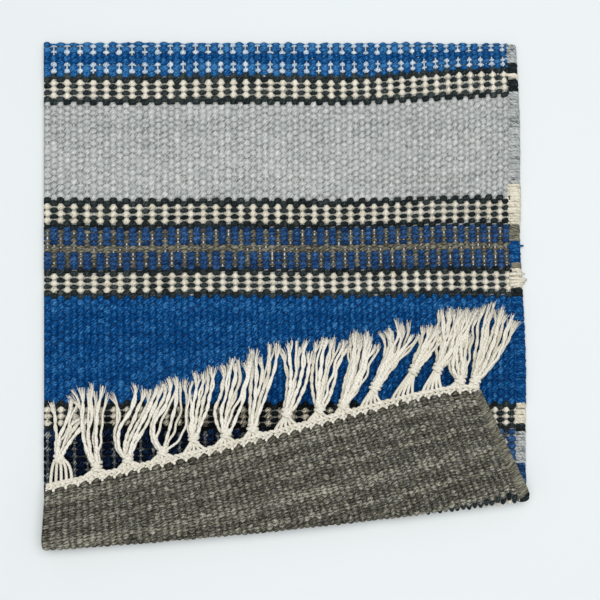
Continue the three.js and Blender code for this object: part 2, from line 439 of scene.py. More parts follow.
# one entry for each dyed wool: height of its floats and half thickness in mm, how far it spreads
# over other wools, how loosely it lies, share of a pick it fills between warps and over one,
# how its floats taper, how much darker its tone is painted where it dives (painted shade in the dips),
# and how far its tone strays by pick, along the yarn and by float
wools = {
    "g": {
        "name": "light_grey", "rise": 0.85, "plump": 0.66, "spread": -0.3, "loose": 0.9,
        "narrow": 0.74, "wide": 1.14, "taper": 0.6, "dive": 0.26, "unlike": (0.04, 0.07, 0.05),
        "colours": [(0.0, "#3c3f41"), (0.3, "#a1a6a6"), (0.62, "#bcbebc"), (1.0, "#e2e2dd")],
    },
    "p": {
        "name": "pale_grey", "rise": 0.95, "plump": 0.6, "spread": -0.3, "loose": 0.7,
        "narrow": 0.42, "wide": 0.86, "taper": 1.1, "dive": 0.06, "unlike": (0.05, 0.1, 0.1),
        "slot": "wool_light_grey",
        "colours": [(0.0, "#2c3a48"), (0.4, "#8fa9be"), (0.75, "#b6c9d8"), (1.0, "#dde7ec")],
    },
    "b": {
        "name": "blue", "rise": 0.95, "plump": 0.72, "spread": 0.4, "loose": 0.85,
        "narrow": 0.8, "wide": 1.3, "taper": 0.7, "dive": 0.24, "unlike": (0.05, 0.08, 0.07),
        "twist": 26.0, "fibreLength": 1.8,
        "colours": [(0.0, "#00183f"), (0.35, "#02366c"), (0.62, "#094a82"), (1.0, "#4685ba")],
    },
    "n": {
        "name": "navy", "rise": 1.3, "plump": 0.66, "spread": 1.0, "loose": 0.6,
        "narrow": 0.66, "wide": 1.24, "taper": 0.7, "dive": 0.1, "unlike": (0.04, 0.07, 0.08),
        "colours": [(0.0, "#03070f"), (0.3, "#182f54"), (0.62, "#274b79"), (1.0, "#5a83b4")],
    },
    "c": {
        "name": "cream", "rise": 1.3, "plump": 0.72, "spread": 0.45, "loose": 0.5,
        "narrow": 0.24, "wide": 1.14, "taper": 1.1, "dive": 0.06, "unlike": (0.04, 0.06, 0.10),
        "colours": [(0.0, "#4b4437"), (0.3, "#cbc3ae"), (0.62, "#e3dcca"), (1.0, "#f2eddf")],
    },
    "d": {
        "name": "dark", "rise": 1.25, "plump": 0.7, "spread": 0.4, "loose": 0.5,
        "narrow": 0.36, "wide": 0.98, "taper": 1.0, "dive": 0.06, "unlike": (0.05, 0.10, 0.12),
        "colours": darkColours,
    },
    "k": {
        "name": "dark_border", "rise": 1.25, "plump": 0.7, "spread": 0.4, "loose": 0.5,
        "narrow": 0.66, "wide": 1.12, "taper": 0.8, "dive": 0.06, "unlike": (0.05, 0.10, 0.12),
        "slot": "wool_dark",
        "colours": darkColours,
    },
    "t": {
        "name": "taupe", "rise": 1.05, "plump": 0.68, "spread": 0.1, "loose": 1.1,
        "narrow": 0.6, "wide": 1.04, "taper": 1.0, "dive": 0.06, "unlike": (0.05, 0.14, 0.12),
        "twist": 14.0, "fibreLength": 3.2, "plyWidth": 0.8, "plyShade": 0.4,
        "colours": [(0.0, "#25231c"), (0.35, "#444239"), (0.62, "#5a574c"), (1.0, "#949180")],
    },
    "e": {
        "name": "taupe_end", "rise": 0.95, "plump": 0.66, "spread": 0.1, "loose": 0.8,
        "narrow": 0.68, "wide": 1.06, "taper": 0.8, "dive": 0.22, "unlike": (0.1, 0.12, 0.04),
        "twist": 16.0, "fibreLength": 1.6, "slot": "wool_taupe",
        "colours": [(0.0, "#25231b"), (0.35, "#545148"), (0.62, "#737165"), (1.0, "#b6b3a4")],
    },
}
for wool in wools.values():
    wool["material"] = spunYarn({**woolSpin, **wool, "name": "carded_wool_" + wool["name"]})

# plied cotton, hard twisted and unbleached: smooth, matt, nearly white with a warm cast; its fibres
# are too fine to show as well, and are drawn as coarse locks
cottonSpin = {
    "twist": 32.0,
    "fibreLength": 2.4,
    "fibreWidth": 0.4,
    "fibreContrast": 0.3,
    "plyWidth": 0.9,
    "plyWaver": 0.6,
    "plyShade": 0.1,
    "plyRelief": 1.4,
    "bump": 0.6,
    "roughness": 0.85,
    "ior": 1.5,
    "specular": 0.2,
    "sheen": 0.1,
    "sheenRoughness": 0.5,
}
fringeCotton = spunYarn({
    **cottonSpin,
    "name": "plied_cotton_unbleached",
    "colours": [(0.0, "#2c2822"), (0.25, "#c8c0ab"), (0.5, "#e7e1d1"), (1.0, "#faf6ec")],
})
# the same cotton under the wool: blue at its lowest tone, where it lies under blue wool, grey at middle
# tones, and painted dark between the warps as painted shade
warpCotton = spunYarn({
    **cottonSpin,
    "name": "plied_cotton_under_wool",
    "colours": [
        (0.0, "#0d4079"), (0.1, "#1a1916"), (0.3, "#7f817f"), (0.6, "#d2d1ca"), (1.0, "#ebe9e2"),
    ],
})
print("kilim: materials made")

# stripes from the far edge: where each ends, in mm, how much lighter its wools are than elsewhere,
# and its picks in the order they are woven
stripes = [
    (0.2, 0.18, "b"),
    (5.1, 0.19, "pbp"),
    (10.0, 0.04, "bbb"),
    (16.6, 0.18, "pbpb"),
    (31.7, 0.04, "kkcdcdckk"),
    (81.0, 0.0, "g" * 32),
    (96.1, -0.06, "kkcdcdckk"),
    (104.0, -0.08, "ntntntn"),
    (108.5, 0.0, "tttt"),
    (116.4, -0.06, "ntntntn"),
    (131.0, 0.0, "kkcdcdckk"),
    (183.0, 0.0, "b" * 28),
    (197.0, 0.0, "kkcdcdckk"),
    (223.0, 0.0, "ng" * 8),
    (238.5, 0.0, "kkcdcdckk"),
]
# how the picks lie: distances in mm, spacings of the unevenness in steps along a pick
weave = {
    "warps": 76,
    "firstWarp": 1.9,
    "lastWarp": 235.3,
    "crowding": 0.09,  # warps stand closer towards the right
    "runsPast": (0.5, 0.8),  # warps that a pick runs past the first and the last
    "stepsPerWarp": 4,
    "nudge": 0.001,  # a step half way between two warps goes with the next one
    "sides": 6,
    "endPicks": 34,
    "floatShape": 0.7,
    "cover": 0.32,  # how much longer floats are on the face that shows
    "leadBias": 0.4,
    "leadSharpens": 1.2,
    "leadRise": 0.12,
    "edgeLead": 1.0,
    "edgeFill": 1.3,
    "thinned": 0.85,  # share of its thickness that a yarn keeps where it dives
    "offFloor": 0.02,
    "slant": 0.18,  # share of a pick that a float leans by over one warp
    "riseJitter": 0.2,
    "widthJitter": 0.2,
    "slubs": 0.1,
    "slubSteps": 14,
    "squeeze": 0.55,
    "lineJitter": 0.34,
    "lineSteps": 2,
    "rowJitter": 0.3,
    "rowSteps": 30,
    "patchLoss": 0.13,
    "patchSize": (9, 24),  # picks and steps
    "rightLoss": 0.1,  # yarns are thinner towards the right
    "rightFrom": 0.5,
    "tone": 0.5,
    "toneSteps": 9,
    "pickTone": 1.5,
    # painted highlight and shade round each yarn: lighter on top, darker on the sides
    "crestShade": 0.16,
    "crestMean": 0.7,
    # painted shade under the fringe: how far the wool's tone is lowered there, where that fades and how
    # much blue wool takes
    "deepShade": 0.6,
    "deepFades": (16.0, 44.0),  # mm beyond the woven end
    "deepEnds": (0.3, 1.0),  # places along the woven end
    "deepBlue": 0.25,  # share of the shade that blue wool shows
    "plyApart": 0.44,
    "plyHalf": 0.62,
    "plyThick": 0.8,
    "plyJitter": 0.2,
    "plyShade": 0.15,
    "plySteps": (3, 2, 3, 2),  # for place, width, height and tone
    "plySides": 4,
    # painted highlight and shade round each ply, as for the picks
    "plyCrest": 0.26,
    "pull": 5.5,
    "pullFrom": 20.0,
    "pullFades": 55.0,
    "pullOver": (0.6, 1.05),  # shares of the width
    "waver": 0.5,
    "waverAcross": (9.0, 5.3),
    "waverAlong": (31.0, 47.0),
    "seed": 41,
}


def warpPlace(step):
    w = weave
    share = step / (w["warps"] - 1)
    return between(w["firstWarp"], w["lastWarp"], share + w["crowding"] * share * (1 - share))


# the wefts are pulled up towards the right selvedge near the far edge, and waver a little
def weftLine(v, u):
    w = weave
    grown = np.minimum(v / w["pullFrom"], 1)
    pulled = w["pull"] * grown * np.exp(-np.maximum(v - w["pullFrom"], 0) / w["pullFades"])
    across, along = w["waverAcross"], w["waverAlong"]
    waver = np.sin(across[0] * u + v / along[0]) * np.sin(across[1] * u - v / along[1])
    return v - pulled * smoothStep(u, *w["pullOver"]) + w["waver"] * grown * waver


# the picks' wools as letters, how much lighter each is, its steps by warp and its course v [pick, step]
def pickRows():
    w = weave
    lines, lighter, letters = [], [], ""
    start = 0.0
    for end, lift, picks in stripes:
        lines += list(start + (np.arange(len(picks)) + 0.5) * (end - start) / len(picks))
        lighter += [lift] * len(picks)
        letters += picks
        start = end
    before, past = w["runsPast"]
    step = np.arange(-before, w["warps"] - 1 + past, 1 / w["stepsPerWarp"])
    u = warpPlace(step) / clothPlan["width"]
    rows = [weftLine(np.full(len(u), v), u) for v in lines]
    lastStripe = weftLine(np.full(len(u), start), u)
    for i in range(w["endPicks"]):
        rows.append(between(lastStripe, wovenLength(u), (i + 0.5) / w["endPicks"]))
    letters += "e" * w["endPicks"]
    lighter += [0.0] * w["endPicks"]
    return letters, np.array(lighter)[:, None], step, np.array(rows)


# painted shade: the lower layer's wool near and past the woven end, under the fringe and the turned end, is
# darkened, most at the left; how much, from 0 to 1
def fringeShade(x, v, letters):
    w = weave
    place = lay(np.broadcast_to(x, v.shape), v, 0 * v)
    firstX, lastX = clothPlan["endLeft"][0], clothPlan["endRight"][0]
    alongEnd = (place[..., 0] - firstX) / (lastX - firstX)
    beyond = place[..., 1] - endLine(alongEnd)[1]
    shadeShare = (1 - smoothStep(beyond, *w["deepFades"])) * (1 - smoothStep(alongEnd, *w["deepEnds"]))
    return shadeShare * np.array([w["deepBlue"] if letter == "b" else 1.0 for letter in letters])[:, None]


# yarns along x as letters, rings and tones; each is painted lighter along its top than on its sides:
# painted highlight on top and painted shade on the sides
def spinPicks(x, letters, v, half, c, thick, tone, sides, paintedCrest):
    turn = math.pi / 2 + 2 * math.pi * np.arange(sides) / sides
    rings = lay(
        np.broadcast_to(x[None, :, None], (*v.shape, sides)),
        v[..., None] + half[..., None] * np.cos(turn),
        c[..., None] + thick[..., None] * np.sin(turn),
    )
    return letters, rings, tone[..., None] + paintedCrest * (np.abs(np.sin(turn)) - weave["crestMean"])


# in the turned end the two plies of each pick lie side by side
def splitEnd(rng, x, *parts):
    w = weave
    pitch, v, half, c, thick, tone = (np.repeat(part, 2, axis=0) for part in parts)
    side = np.where(np.arange(len(v)) % 2, 1, -1)[:, None]
    jitter = [unevenness(rng, *v.shape, spacing) for spacing in w["plySteps"]]
    return spinPicks(
        x,
        "e" * len(v),
        v + side * w["plyApart"] * half + w["plyJitter"] * pitch * jitter[0],
        w["plyHalf"] * half * (1 + w["plyJitter"] * jitter[1]),
        c + w["plyJitter"] * jitter[2],
        w["plyThick"] * thick,
        tone + w["plyShade"] * jitter[3],
        w["plySides"],
        w["plyCrest"],
    )


# the field: each pick goes over one warp and under the next, and the next pick the other way
def weaveField():
    w = weave
    rng = np.random.default_rng(w["seed"])
    letters, lighter, step, v = pickRows()
    x = warpPlace(step)
    u = x / clothPlan["width"]
    picks, steps = v.shape
    inStripes = picks - w["endPicks"]
    pitch = np.gradient(v, axis=0)

    def perPick(key):
        return np.array([wools[letter][key] for letter in letters]).reshape(picks, -1)

    # a bulky wool spreads over its neighbours, so its floats are longer and stand higher
    spread = perPick("spread")
    padded = np.concatenate([spread[:1], spread, spread[-1:]])
    lead = spread - (padded[:-2] + padded[2:]) / 2
    lead[-1] += w["edgeLead"]
    # floats are longer on the face that shows: above in the stripes, below in the turned end
    face = np.where(np.arange(picks) < inStripes, 1, -1)[:, None]
    bias = face * (w["cover"] + w["leadBias"] * lead)
    phase = math.pi * (step[None] + np.arange(picks)[:, None])
    wave = np.cos(phase) + bias
    float01 = np.clip(np.abs(wave) / (1 + bias * np.sign(wave)), 0, 1)
    # one value for each float: how high, how wide and how light it is beside the others
    crossing = np.round(step + w["nudge"]).astype(int) + 1
    perFloat = rng.uniform(-1, 1, (3, picks, w["warps"] + 3))[:, :, crossing]
    thick = perPick("plump") * between(w["thinned"], 1.0, float01)
    c = np.sign(wave) * float01 ** (w["floatShape"] * 2 ** (-w["leadSharpens"] * lead))
    loose = perPick("loose")
    c = c * perPick("rise") * (1 + w["leadRise"] * lead) * (1 + w["riseJitter"] * loose * perFloat[0])
    c = np.maximum(c, thick - clothPlan["middle"] + w["offFloor"])
    # half widths: fuller over a warp, thinner in patches and where a bulky wool squeezes the yarn
    thinner = np.maximum(patches(rng, picks, steps, *w["patchSize"]), 0)
    loss = w["patchLoss"] * thinner + w["rightLoss"] * smoothStep(u, w["rightFrom"], 1)
    fill = between(perPick("narrow"), perPick("wide"), float01 ** perPick("taper"))
    squeezed = w["squeeze"] * np.maximum(-lead, 0) * np.maximum(-perFloat[1], 0)
    uneven = w["widthJitter"] * perFloat[1] + w["slubs"] * unevenness(rng, picks, steps, w["slubSteps"])
    half = pitch * fill * (1 + loose * uneven - loss - squeezed)
    half[-1] *= w["edgeFill"]
    v = v - w["slant"] * pitch / math.pi * np.sin(phase)
    v = v + w["lineJitter"] * loose * unevenness(rng, picks, steps, w["lineSteps"])
    v = v + w["rowJitter"] * loose * pitch * unevenness(rng, picks, steps, w["rowSteps"])
    unlike = perPick("unlike")
    # painted shade: a yarn's tone is made darker where it dives under a warp
    tone = w["tone"] + lighter - perPick("dive") * (1 - float01)
    tone = tone + unlike[:, :1] * rng.uniform(-w["pickTone"], w["pickTone"], (picks, 1))
    tone = tone + unlike[:, 1:2] * unevenness(rng, picks, steps, w["toneSteps"])
    tone = tone + unlike[:, 2:] * perFloat[2]
    # painted shade under the fringe, on the face of the stripes only
    tone = tone - w["deepShade"] * fringeShade(x, v, letters) * (face > 0)
    parts = (v, half, c, thick, tone)
    above = [part[:inStripes] for part in parts]
    turned = [part[inStripes:] for part in parts]
    field = spinPicks(x, letters[:inStripes], *above, w["sides"], w["crestShade"])
    return field, splitEnd(rng, x, pitch[inStripes:], *turned)


fieldYarns, endYarns = weaveField()
print("kilim: field woven,", len(fieldYarns[0]), "picks and", weave["endPicks"], "in the turned end")

# right selvedge: wool wraps round a bundle of warps; where each colour ends, in mm from the far edge
selvedgeBlocks = [
    (10.5, "g"), (15.0, "d"), (18.5, "c"), (26.0, "d"), (73.0, "g"), (94.0, "c"), (102.0, "t"),
    (113.5, "b"), (117.0, "t"), (126.0, "c"), (130.0, "d"), (183.0, "b"), (193.0, "c"), (197.0, "d"),
    (213.5, "g"), (226.0, "n"), (231.0, "c"), (236.0, "d"), (400.0, "t"),
]
# the wraps, in mm: across and through are half sizes of the bundle, half and thick those of the yarn
selvedge = {
    "middle": 239.5,
    "across": 2.6,
    "through": 1.2,
    "first": 0.9,
    "beforeEnd": 0.5,
    "pitch": 1.4,
    "half": 0.86,
    "thick": 0.6,
    "slantAbove": 0.4,
    "slantBelow": 1.7,
    "placeJitter": 0.35,
    "acrossJitter": 0.07,
    "throughJitter": 0.06,
    "slantJitter": 0.4,
    "ragged": 0.25,
    "slubs": 0.12,
    "slubSteps": 3,
    "bulge": 0.22,
    "bulges": (73.0, 94.0),  # the stretch where the wraps stand out
    "bulgeEase": (2.0, 4.0),
    "tone": 0.4,
    "tones": {"g": 0.3, "t": 0.58},
    "wrapTone": 0.1,
    "slubTone": 0.12,
    "steps": 16,
    "sides": 6,
    "seed": 17,
}
# loose ends at the selvedge: wool, place from the far edge, how far out and up each reaches, in mm
looseEnds = [
    ("b", 105.5, 2.2, 0.8), ("c", 76.0, 0.8, 1.2), ("c", 119.5, 2.2, 0.6), ("c", 121.5, 3.1, -0.4),
    ("c", 123.4, 2.6, 0.9), ("c", 125.0, 1.8, 1.4),
]
# how each loose end lies: half is its half thickness at the root and at the tip, in mm
looseMake = {
    "inside": 3.6,
    "above": 0.6,
    "tipThrough": -0.6,
    "sag": 3,
    "curl": 1.5,
    "half": (0.85, 0.4),
    "taper": 2,
    "tone": 0.55,
    "steps": 6,
    "sides": 6,
}


def wrapSelvedge():
    s = selvedge
    rng = np.random.default_rng(s["seed"])
    end = wovenLength(s["middle"] / clothPlan["width"])
    v = np.arange(s["first"], end - s["beforeEnd"], s["pitch"])
    letters = ""
    for place in v:
        letters += next(letter for limit, letter in selvedgeBlocks if place < limit)
    wraps = len(v)
    jitter = rng.uniform(-1, 1, (5, wraps, 1))
    first, last = s["bulges"]
    before, after = s["bulgeEase"]
    bulges = smoothStep(v, first - before, first + after) * smoothStep(-v, -last - before, -last + after)
    v = v[:, None] + s["placeJitter"] * jitter[0]
    turn = 2 * math.pi * np.arange(s["steps"]) / s["steps"]
    across = s["across"] * (1 + s["acrossJitter"] * jitter[1] + s["bulge"] * bulges[:, None])
    through = s["through"] * (1 + s["throughJitter"] * jitter[2])
    slant = between(-s["slantBelow"], s["slantAbove"], (1 + np.sin(turn)) / 2)
    slant = slant * (1 + s["slantJitter"] * jitter[3])
    ragged = np.where(np.cos(turn) < 0, 1 + s["ragged"] * jitter[4], 1)
    x = s["middle"] + across * ragged * np.cos(turn)
    c = through * np.sin(turn)
    v = v - slant * np.cos(turn) + 0 * x
    ring = 2 * math.pi * np.arange(s["sides"]) / s["sides"]
    outward = s["thick"] * np.sin(ring)
    slubs = unevenness(rng, wraps, s["steps"], s["slubSteps"])[..., None]
    rings = lay(
        x[..., None] + outward * np.cos(turn)[:, None],
        v[..., None] + s["half"] * (1 + s["slubs"] * slubs) * np.cos(ring),
        c[..., None] + outward * np.sin(turn)[:, None],
    )
    ownTone = np.array([s["tones"].get(letter, s["tone"]) for letter in letters])[:, None]
    tone = ownTone + s["wrapTone"] * jitter[4] + s["slubTone"] * slubs[..., 0]
    return letters, rings, tone[..., None]


def pullLooseEnds():
    s = selvedge
    m = looseMake
    share = np.linspace(0, 1, m["steps"])
    paths = []
    letters = ""
    for letter, v, out, up in looseEnds:
        letters += letter
        x = between(s["middle"] - m["inside"], s["middle"] + s["across"] + out, share)
        c = between(s["through"] + m["above"], m["tipThrough"], share ** m["sag"])
        paths.append(lay(x, v - up * share ** m["curl"], c))
    half = np.broadcast_to(between(*m["half"], share ** m["taper"]), (len(paths), len(share)))
    rings = ringsAround(np.array(paths), half, half, upward, m["sides"])
    return letters, rings, m["tone"] + 0 * half[..., None]


# wool letters, rings and tones of each kind of yarn, and whether its yarns are loops
yarnGroups = [
    (*fieldYarns, False),
    (*endYarns, False),
    (*wrapSelvedge(), True),
    (*pullLooseEnds(), False),
]


def woolBundle(letter, letters, rings, tone, closed):
    chosen = np.array([k == letter for k in letters])
    return {"rings": rings[chosen], "tone": tone[chosen], "closed": closed}


for letter, wool in wools.items():
    bundles = [woolBundle(letter, *group) for group in yarnGroups if letter in group[0]]
    piece = joinYarns("weft_" + wool["name"], bundles, wool["material"])
    print("kilim:", piece.name, len(piece.data.polygons), "faces")

# cotton warps under the wefts: one closed sheet, ribbed along each warp and painted dark in the hollows, as
# painted shade
warpSheet = {
    "ribHalf": 0.08,
    "rib": 0.95,
    "shoulder": 0.75,
    "shoulderTone": 0.6,
    "flank": 0.35,
    "hollow": 0.06,
    # place from the far edge in mm, tone of the hollows and tone of the ribs there; the hollows' low tones
    # are painted shade
    "tones": [
        (12.0, -0.1, 0.9), (15.0, 0.0, 1.0), (18.0, 0.4, 0.66), (30.5, 0.4, 0.66), (33.0, 0.3, 0.6),
        (79.5, 0.3, 0.6), (82.0, 0.4, 0.66), (95.0, 0.4, 0.66), (97.0, 0.1, 0.8), (115.5, 0.1, 0.8),
        (117.5, 0.4, 0.66), (129.5, 0.4, 0.66), (132.0, -0.3, -0.2), (182.0, -0.3, -0.2), (184.0, 0.2, 0.4),
        (196.0, 0.2, 0.4), (198.0, 0.11, 0.12), (222.0, 0.11, 0.12), (235.0, 0.16, 0.34),
    ],
    "left": 0.9,
    "selvedgeWarps": (238.5, 240.0),
    "right": 241.6,
    "farEdge": 0.8,
    "pastEnd": 1.6,
    "rowsApart": 13.0,
    "lowerEnd": 223.0,
    "bendRows": 10,
    "flapRows": 6,
    # shares of the bake map: its margin, one face's width and height, where the back starts, and the rim
    "bakeMargin": 0.01,
    "bakeFace": (0.47, 0.95),
    "bakeBack": 0.5,
    "bakeRim": (0.975, 0.99),
    "bakeRimEnd": 0.98,
    "bakeRimFill": 0.9,
    "rimPattern": 100.0,
}


# across the sheet: place, half thickness and share of the rib's tone at each column
def warpSection():
    s = warpSheet
    oneWarp = np.array([
        (-2 * s["ribHalf"], s["flank"], 0.0),
        (-s["ribHalf"], s["shoulder"], s["shoulderTone"]),
        (0.0, s["rib"], 1.0),
        (s["ribHalf"], s["shoulder"], s["shoulderTone"]),
        (2 * s["ribHalf"], s["flank"], 0.0),
        (0.5, s["hollow"], 0.0),
    ])
    step = (np.arange(weave["warps"])[:, None] + oneWarp[:, 0]).ravel()[:-1]
    ribbed, shaded = (np.tile(column, weave["warps"])[:-1] for column in oneWarp.T[1:])
    x = np.concatenate([[s["left"]], warpPlace(step), s["selvedgeWarps"], [s["right"]]])
    half = np.concatenate([[s["hollow"]], ribbed, [s["rib"]] * 2, [s["hollow"]]])
    share = np.concatenate([[0.0], shaded, [0.0] * 3])
    return x, half, share


# rows from the far edge to just past the woven end, v [row, column], close together round the bend
def warpRows(x):
    s = warpSheet
    u = x / clothPlan["width"]
    fold = foldLength(u)
    bend = fold + math.pi * clothPlan["bendRadius"]
    end = wovenLength(u) + s["pastEnd"]
    even = np.arange(s["farEdge"], s["lowerEnd"], s["rowsApart"])
    toneChanges = [place for place, _, _ in s["tones"][:-1]]
    rows = [place + 0 * x for place in np.union1d(even, toneChanges)]
    rows += [between(fold, bend, i / s["bendRows"]) for i in range(s["bendRows"])]
    rows += [between(bend, end, i / s["flapRows"]) for i in range(s["flapRows"] + 1)]
    return np.array(rows)


def ribbedWarps():
    s = warpSheet
    x, half, share = warpSection()
    v = warpRows(x)
    x = np.broadcast_to(x, v.shape)
    toneAt, hollowTones, ribTones = zip(*s["tones"])
    hollowTone, ribTone = (np.interp(v, toneAt, tones) for tones in (hollowTones, ribTones))
    tone = between(hollowTone, ribTone, share)
    points = np.concatenate([lay(x, v, side * half + 0 * v).reshape(-1, 3) for side in (1, -1)])
    count, columns = v.shape
    under = count * columns
    numbers = np.arange(under).reshape(count, columns)
    rim = np.concatenate([numbers[:, 0], numbers[-1, 1:], numbers[-2::-1, -1], numbers[0, -2:0:-1]])
    after = np.roll(rim, -1)
    face = quads(numbers[None]).reshape(-1, 4)
    back = face[:, ::-1] + under
    edge = np.stack([rim, rim + under, after + under, after], axis=1)
    flat = np.stack([x, v], axis=-1)
    bakeFlat = s["bakeMargin"] + flat / (x.max(), v.max()) * s["bakeFace"]
    flatQuads = quads(flat[None]).reshape(-1, 4, 2)
    bakeQuads = quads(bakeFlat[None]).reshape(-1, 4, 2)
    rimPlace = np.linspace(s["bakeMargin"], s["bakeRimEnd"], len(rim))
    rimAfter = rimPlace + s["bakeRimFill"] * (rimPlace[1] - rimPlace[0])
    low, high = (np.full(len(rim), height) for height in s["bakeRim"])
    rimCorners = ((rimPlace, low), (rimPlace, high), (rimAfter, high), (rimAfter, low))
    edgeBake = np.stack([np.stack(corner, axis=-1) for corner in rimCorners], axis=1)
    maps = {
        "yarn": [flatQuads, flatQuads[:, ::-1], edgeBake * s["rimPattern"]],
        "OFBake": [bakeQuads, bakeQuads[:, ::-1] + (s["bakeBack"], 0.0), edgeBake],
    }
    tones = np.tile(tone.ravel(), 2)
    return makeObject("warp_sheet", points, [face, back, edge], maps, tones, warpCotton)


warps = ribbedWarps()
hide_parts("kilim_cloth")
print("kilim: warps laid")

# twined edge along the woven end: two pairs of cotton plies, twisted opposite ways
twinedEdge = {
    "pairs": [(1.25, 1.0), (3.15, -1.0)],  # mm past the woven end, and the way the pair twists
    "left": 0.8,
    "right": 241.8,
    "turnLength": 6.2,
    "swing": 0.55,
    "lift": 0.5,
    "half": 0.68,
    "slubs": 0.08,
    "slubSteps": 6,
    "tone": 0.5,
    "plyTone": 0.15,
    "toneSteps": 9,
    "steps": 430,
    "sides": 6,
    # course of a warp's tick: mm past the woven end, mm through the cloth, share of its width
    "tick": [(1.2, -0.6, 1.0), (0.5, -1.2, 1.0), (-0.3, -1.5, 0.8), (-1.0, -1.2, 0.5), (-0.2, -0.4, 0.2)],
    "tickHalf": 0.75,
    "tickFlat": 0.6,
    "tickTone": 0.1,
    "seed": 5,
}


def twineEdge():
    t = twinedEdge
    rng = np.random.default_rng(t["seed"])
    x = np.linspace(t["left"], t["right"], t["steps"])
    paths = []
    for distance, hand in t["pairs"]:
        for start in (0.0, math.pi):
            phase = start + 2 * math.pi * x / t["turnLength"]
            v = wovenLength(x / clothPlan["width"]) + distance + t["swing"] * np.sin(phase)
            paths.append(lay(x, v, -hand * t["lift"] * np.cos(phase)))
    half = t["half"] * (1 + t["slubs"] * unevenness(rng, len(paths), t["steps"], t["slubSteps"]))
    tone = t["tone"] + t["plyTone"] * unevenness(rng, len(paths), t["steps"], t["toneSteps"])
    plies = yarnBundle(np.array(paths), half, half, tone[..., None], t["sides"])
    # where the last pick lies on the hidden side, the warp shows as a tick between its floats
    open01 = 1 - (len(fieldYarns[0]) + weave["endPicks"]) % 2
    warp = np.arange(open01, weave["warps"], 2)
    x = warpPlace(warp)[:, None]
    reach, through, taper = np.array(t["tick"]).T
    v = wovenLength(x / clothPlan["width"]) + reach
    path = lay(x + 0 * v, v, through + 0 * v)
    half = t["tickHalf"] * taper + 0 * v
    tone = t["tone"] + t["tickTone"] * rng.uniform(-1, 1, (len(warp), 1, 1))
    ticks = yarnBundle(path, half, t["tickFlat"] * half, tone, t["sides"])
    return joinYarns("twined_edge", [plies, ticks], fringeCotton)


# tassels from left to right: place along the edge, length and lean of the neck up to the knot,
# whether it lies over its neighbours, and the locks its strands fall in: strands, how far right
# of the knot the lock lies at a quarter, past half way and at its tip, and how far it reaches, in mm
tassels = [
    (0.030, 10.6, 1.0, 0, [
        (2, -1.5, -2.5, -5.5, 27.5), (3, 1.0, 3.5, 6.5, 28.0), (6, 2.0, 5.0, 11.0, 19.5),
    ]),
    (0.120, 2.4, -3.0, 1, [
        (2, -6.0, -7.5, -13.5, 37.0), (3, -5.0, -6.0, -8.0, 38.5),
        (3, -3.0, -3.0, -3.5, 39.5), (3, 0.0, 1.0, 3.0, 38.5),
    ]),
    (0.190, 3.0, 1.4, 0, [
        (2, -6.5, -6.0, -9.0, 32.0), (2, -4.5, -0.5, 2.0, 36.0),
        (4, -0.5, 4.5, 7.5, 35.5), (4, 4.0, 9.5, 14.0, 36.5),
    ]),
    (0.270, 2.9, 0.5, 1, [
        (2, -5.8, -3.0, 0.0, 34.5), (3, -3.3, 1.0, 3.5, 34.5),
        (3, 4.0, 7.0, 6.5, 36.0), (1, 9.5, 11.5, 12.5, 28.0),
    ]),
    (0.341, 5.6, 0.0, 0, [
        (3, -2.5, -3.0, -3.0, 28.5), (4, 0.0, 1.5, 2.5, 31.5), (4, 4.0, 6.5, 7.5, 34.0),
    ]),
    (0.415, 3.6, 1.0, 1, [
        (2, -5.0, -3.0, -2.5, 35.0), (4, -1.0, 1.5, 3.0, 36.0),
        (3, 2.0, 6.5, 7.0, 35.5), (2, 6.5, 9.5, 11.0, 38.0),
    ]),
    (0.475, 3.3, 7.0, 0, [
        (4, -0.5, 0.5, 1.0, 38.0), (3, 1.5, 4.0, 5.0, 36.0), (4, 4.0, 8.0, 10.5, 41.5),
    ]),
    (0.551, 6.3, 8.5, 1, [
        (3, 0.3, 1.0, -2.0, 33.0), (3, 2.0, 3.0, 2.5, 35.0),
        (4, 4.0, 6.0, 8.0, 34.5), (2, 7.0, 9.5, 12.0, 31.0),
    ]),
    (0.628, 3.9, 10.5, 0, [
        (3, -2.5, -2.0, -0.5, 34.5), (4, 0.3, 2.0, 4.5, 35.0),
        (3, 3.0, 6.0, 9.5, 34.5), (2, 6.0, 9.0, 14.5, 33.5),
    ]),
    (0.682, 2.9, 16.5, 1, [
        (4, 1.5, 4.0, 5.0, 34.0), (6, 3.8, 7.0, 8.5, 36.0),
        (5, 5.0, 8.5, 11.5, 33.5), (3, 7.0, 11.5, 15.3, 30.0),
    ]),
    (0.742, 8.6, 25.0, 0, [
        (4, 2.5, 6.5, 4.0, 28.5), (5, 4.0, 8.5, 8.0, 29.0),
        (5, 5.0, 11.0, 14.0, 32.5), (4, 6.0, 12.5, 19.5, 26.0),
    ]),
    (0.821, 13.6, 26.0, 0, [
        (6, 2.2, 5.5, 9.0, 21.0), (6, 3.5, 7.5, 12.0, 22.0), (4, 5.0, 10.0, 15.0, 20.0),
    ]),
    (0.886, 10.9, 21.0, 1, [
        (5, 1.8, 3.0, 3.5, 28.0), (6, 3.5, 6.5, 9.0, 29.0),
        (6, 5.0, 9.5, 13.5, 28.5), (4, 7.0, 12.0, 17.5, 16.0),
    ]),
    (0.952, 2.4, 16.0, 0, [
        (4, -4.5, -0.5, 5.0, 31.0), (5, 0.0, 2.0, 6.0, 34.0), (5, 2.8, 3.5, 8.5, 35.0),
    ]),
    (0.985, 2.4, 24.0, 1, [
        (5, 1.5, 4.0, 8.0, 37.5), (6, 4.0, 8.0, 12.0, 36.0),
        (5, 7.5, 12.0, 16.5, 33.5), (4, 8.5, 14.0, 20.5, 29.0),
    ]),
]
